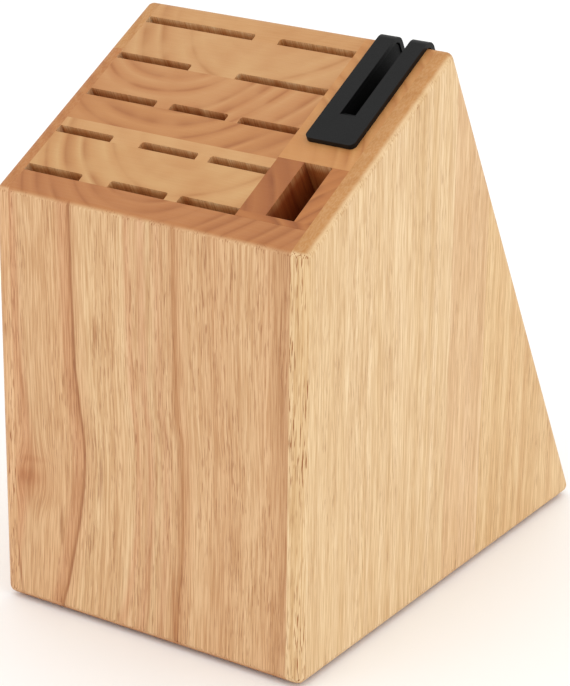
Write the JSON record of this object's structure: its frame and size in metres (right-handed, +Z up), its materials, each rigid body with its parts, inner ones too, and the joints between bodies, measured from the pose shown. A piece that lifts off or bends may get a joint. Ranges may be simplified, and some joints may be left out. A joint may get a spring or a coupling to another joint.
{
  "type": "knife block",
  "caption": "Raked hardwood knife block with rows of slots in its sloping top, a shears well and a built-in rolling-wheel sharpener, standing on rubber pads.",
  "frame": {"origin": "on the surface the block stands on, below the middle of its bounding box", "axes": "+Z up, -Y is the way the upright front face looks, +X is the sharpener's side"},
  "size_m": [0.15, 0.231, 0.2416],
  "materials": {
    "side_wood": "pale hardwood, sanded and satin lacquered, upright grain",
    "front_wood": "warm hardwood, sanded and satin lacquered, flat-sawn figure",
    "core_wood": "hardwood with end grain on the sloping top, satin lacquered",
    "dark_core_wood": "darker hardwood with end grain on the sloping top, satin lacquered",
    "black_plastic": "moulded, fine satin texture",
    "grinding_ceramic": "fine-grit dark ceramic, unglazed",
    "steel": "ground",
    "rubber": "matte"
  },
  "bodies": {
    "block": {"left_panel_front_stave": "side_wood", "left_panel_middle_stave": "side_wood", "left_panel_rear_stave": "side_wood", "right_panel_front_stave": "side_wood", "right_panel_middle_stave": "side_wood", "right_panel_rear_stave": "side_wood", "front_panel": "front_wood", "back_board": "core_wood", "second_row_board": "core_wood", "third_row_board": "core_wood", "plain_board": "core_wood", "fourth_row_board": "core_wood", "fifth_row_board": "core_wood", "core_filler": "core_wood", "column_filler": "dark_core_wood", "wedge_board_1": "core_wood", "wedge_board_2": "core_wood", "wedge_board_3": "core_wood", "well_left_cheek": "dark_core_wood", "well_right_cheek": "dark_core_wood", "well_floor": "dark_core_wood", "sharpener_block": "core_wood", "sharpener_cover": "black_plastic", "sharpener_carrier": "black_plastic", "wheel_axle": "steel", "foot_front_left": "rubber", "foot_front_right": "rubber", "foot_rear_left": "rubber", "foot_rear_right": "rubber"},
    "sharpening_wheels": {"sharpening_wheel_left": "grinding_ceramic", "sharpening_wheel_right": "grinding_ceramic", "wheel_washer": "steel"}
  },
  "joints": [
    {"name": "wheel_spin", "type": "hinge", "parent": "block", "child": "sharpening_wheels", "pos_m": [0.0526, -0.02155, 0.21308], "axis": [1, 0, 0], "continuous": true}
  ]
}
